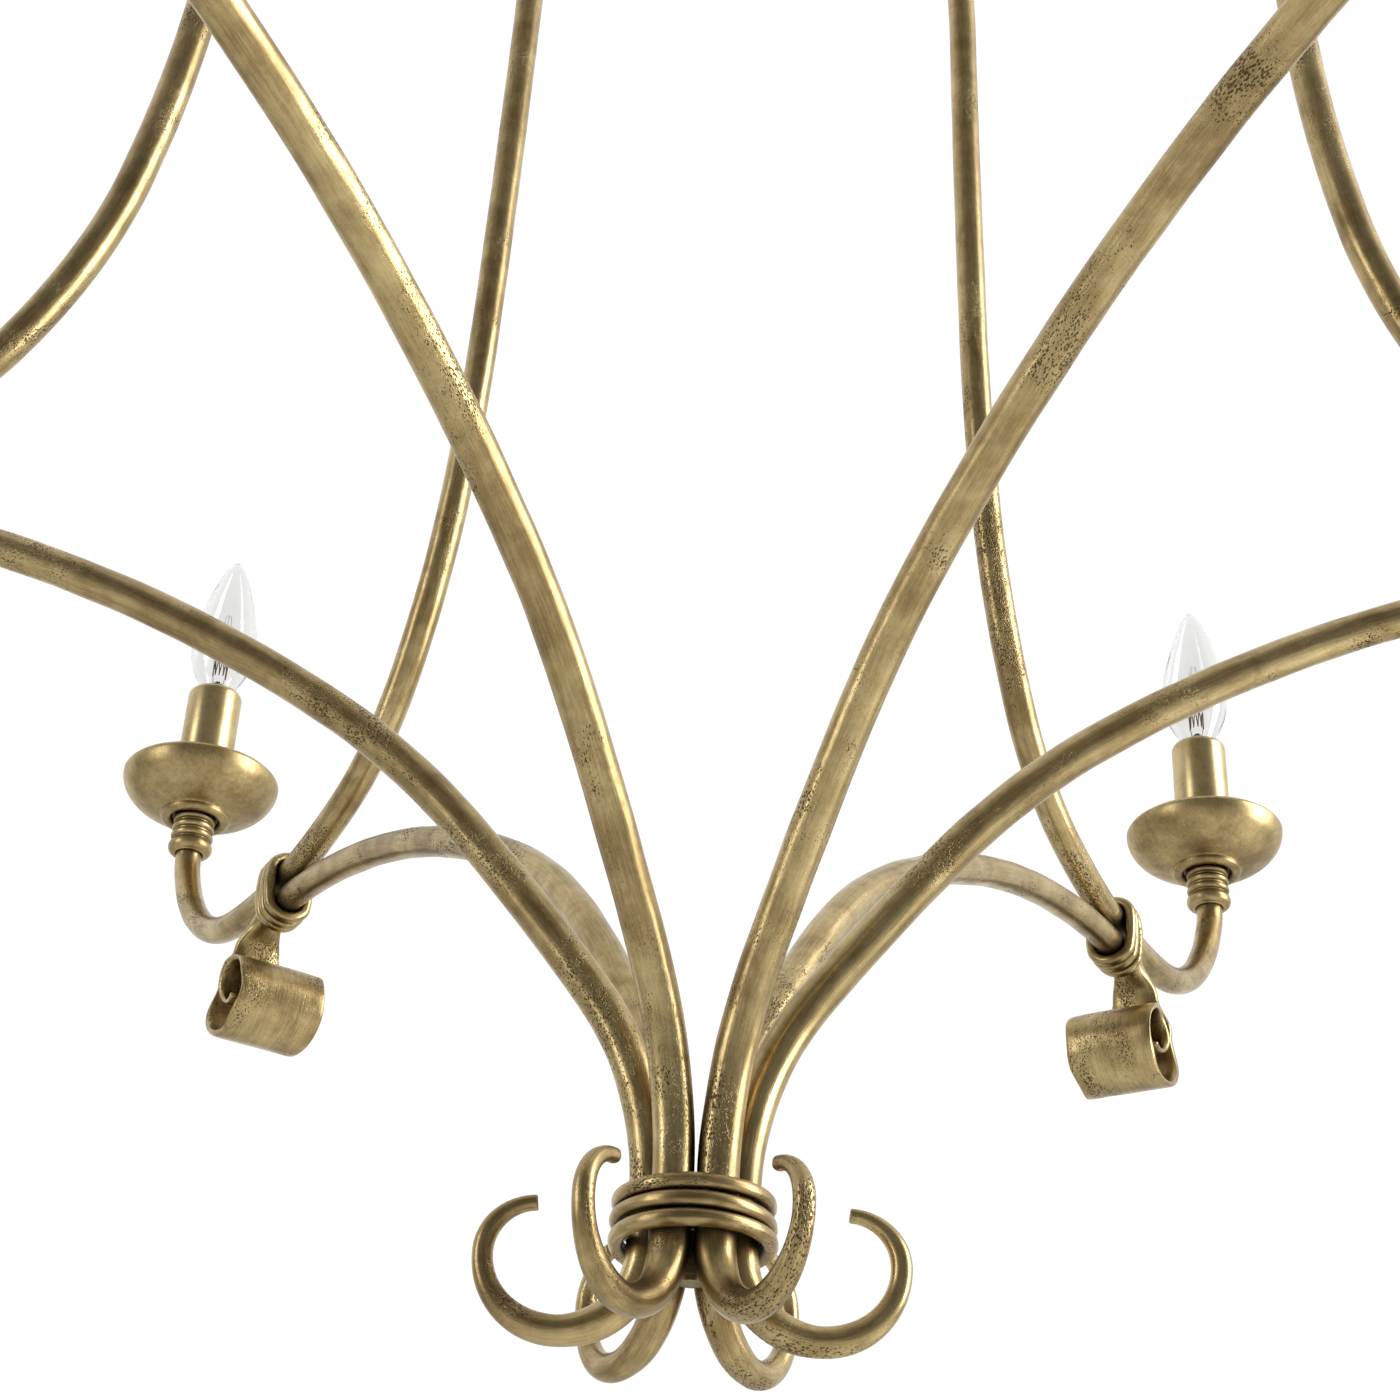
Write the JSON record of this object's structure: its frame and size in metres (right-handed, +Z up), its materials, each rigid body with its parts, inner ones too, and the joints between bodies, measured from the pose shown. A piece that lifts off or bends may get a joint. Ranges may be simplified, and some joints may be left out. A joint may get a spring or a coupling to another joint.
{
  "type": "multi arm chandelier",
  "caption": "Candle chandelier of scrolled round brass rods, wrapped ties, round cups and torpedo bulbs, hung from a short chain.",
  "frame": {"origin": "middle of the ceiling plane, where the crossbar meets the outlet box", "axes": "+Z up out of the ceiling; +X along the crossbar; the first arm points to -119.7 degrees in XY"},
  "size_m": [1.1154, 0.9784, 1.2916],
  "materials": {
    "antique_brass": "satin antiqued, with dark patina in hollows",
    "dark_steel": "dull, oiled",
    "zinc_steel": "zinc plated",
    "holder_plastic": "matte",
    "lead_jacket": "matte",
    "clear_glass": "clear",
    "cap_metal": "bright rolled sheet"
  },
  "bodies": {
    "ceiling_mount": {"canopy": "antique_brass", "crossbar": "zinc_steel", "canopy_fixings": "antique_brass", "canopy_loop": "antique_brass"},
    "upper_link": {"chain_link_1": "antique_brass"},
    "middle_link": {"chain_link_2": "antique_brass"},
    "lower_link": {"chain_link_3": "antique_brass"},
    "frame": {"arm_1": "antique_brass", "arm_2": "antique_brass", "arm_3": "antique_brass", "arm_4": "antique_brass", "arm_5": "antique_brass", "arm_6": "antique_brass", "stay_1": "antique_brass", "stay_2": "antique_brass", "stay_3": "antique_brass", "stay_4": "antique_brass", "stay_5": "antique_brass", "stay_6": "antique_brass", "arm_tie_1": "antique_brass", "arm_tie_2": "antique_brass", "arm_tie_3": "antique_brass", "arm_tie_4": "antique_brass", "arm_tie_5": "antique_brass", "arm_tie_6": "antique_brass", "neck_1": "antique_brass", "neck_2": "antique_brass", "neck_3": "antique_brass", "neck_4": "antique_brass", "neck_5": "antique_brass", "neck_6": "antique_brass", "cup_1": "antique_brass", "cup_2": "antique_brass", "cup_3": "antique_brass", "cup_4": "antique_brass", "cup_5": "antique_brass", "cup_6": "antique_brass", "sleeve_1": "antique_brass", "sleeve_2": "antique_brass", "sleeve_3": "antique_brass", "sleeve_4": "antique_brass", "sleeve_5": "antique_brass", "sleeve_6": "antique_brass", "lampholders": "holder_plastic", "leads": "lead_jacket", "bottom_tie": "antique_brass", "core_stud": "dark_steel", "hub": "antique_brass"},
    "bulb_1": {"bulb_glass_1": "clear_glass", "bulb_cap_1": "cap_metal"},
    "bulb_2": {"bulb_glass_2": "clear_glass", "bulb_cap_2": "cap_metal"},
    "bulb_3": {"bulb_glass_3": "clear_glass", "bulb_cap_3": "cap_metal"},
    "bulb_4": {"bulb_glass_4": "clear_glass", "bulb_cap_4": "cap_metal"},
    "bulb_5": {"bulb_glass_5": "clear_glass", "bulb_cap_5": "cap_metal"},
    "bulb_6": {"bulb_glass_6": "clear_glass", "bulb_cap_6": "cap_metal"}
  },
  "joints": [
    {"name": "upper_link_swing", "type": "hinge", "parent": "ceiling_mount", "child": "upper_link", "pos_m": [0, 0, -0.059], "axis": [1, 0, 0], "range_deg": [-15, 15]},
    {"name": "middle_link_swing", "type": "hinge", "parent": "upper_link", "child": "middle_link", "pos_m": [0, 0, -0.0957], "axis": [0, 1, 0], "range_deg": [-15, 15]},
    {"name": "lower_link_swing", "type": "hinge", "parent": "middle_link", "child": "lower_link", "pos_m": [0, 0, -0.1334], "axis": [1, 0, 0], "range_deg": [-15, 15]},
    {"name": "frame_swing", "type": "hinge", "parent": "lower_link", "child": "frame", "pos_m": [0, 0, -0.1711], "axis": [0, 1, 0], "range_deg": [-15, 15]},
    {"name": "bulb_1_screw", "type": "hinge", "parent": "frame", "child": "bulb_1", "pos_m": [-0.25611, -0.449, -0.83406], "axis": [0, 0, 1], "range_deg": [0, 1080]},
    {"name": "bulb_2_screw", "type": "hinge", "parent": "frame", "child": "bulb_2", "pos_m": [0.25532, -0.44945, -0.83406], "axis": [0, 0, 1], "range_deg": [0, 1080]},
    {"name": "bulb_3_screw", "type": "hinge", "parent": "frame", "child": "bulb_3", "pos_m": [0.51691, -0.0018, -0.83406], "axis": [0, 0, 1], "range_deg": [0, 1080]},
    {"name": "bulb_4_screw", "type": "hinge", "parent": "frame", "child": "bulb_4", "pos_m": [0.25923, 0.44721, -0.83406], "axis": [0, 0, 1], "range_deg": [0, 1080]},
    {"name": "bulb_5_screw", "type": "hinge", "parent": "frame", "child": "bulb_5", "pos_m": [-0.27162, 0.43979, -0.83406], "axis": [0, 0, 1], "range_deg": [0, 1080]},
    {"name": "bulb_6_screw", "type": "hinge", "parent": "frame", "child": "bulb_6", "pos_m": [-0.51681, 0.00992, -0.83406], "axis": [0, 0, 1], "range_deg": [0, 1080]}
  ]
}
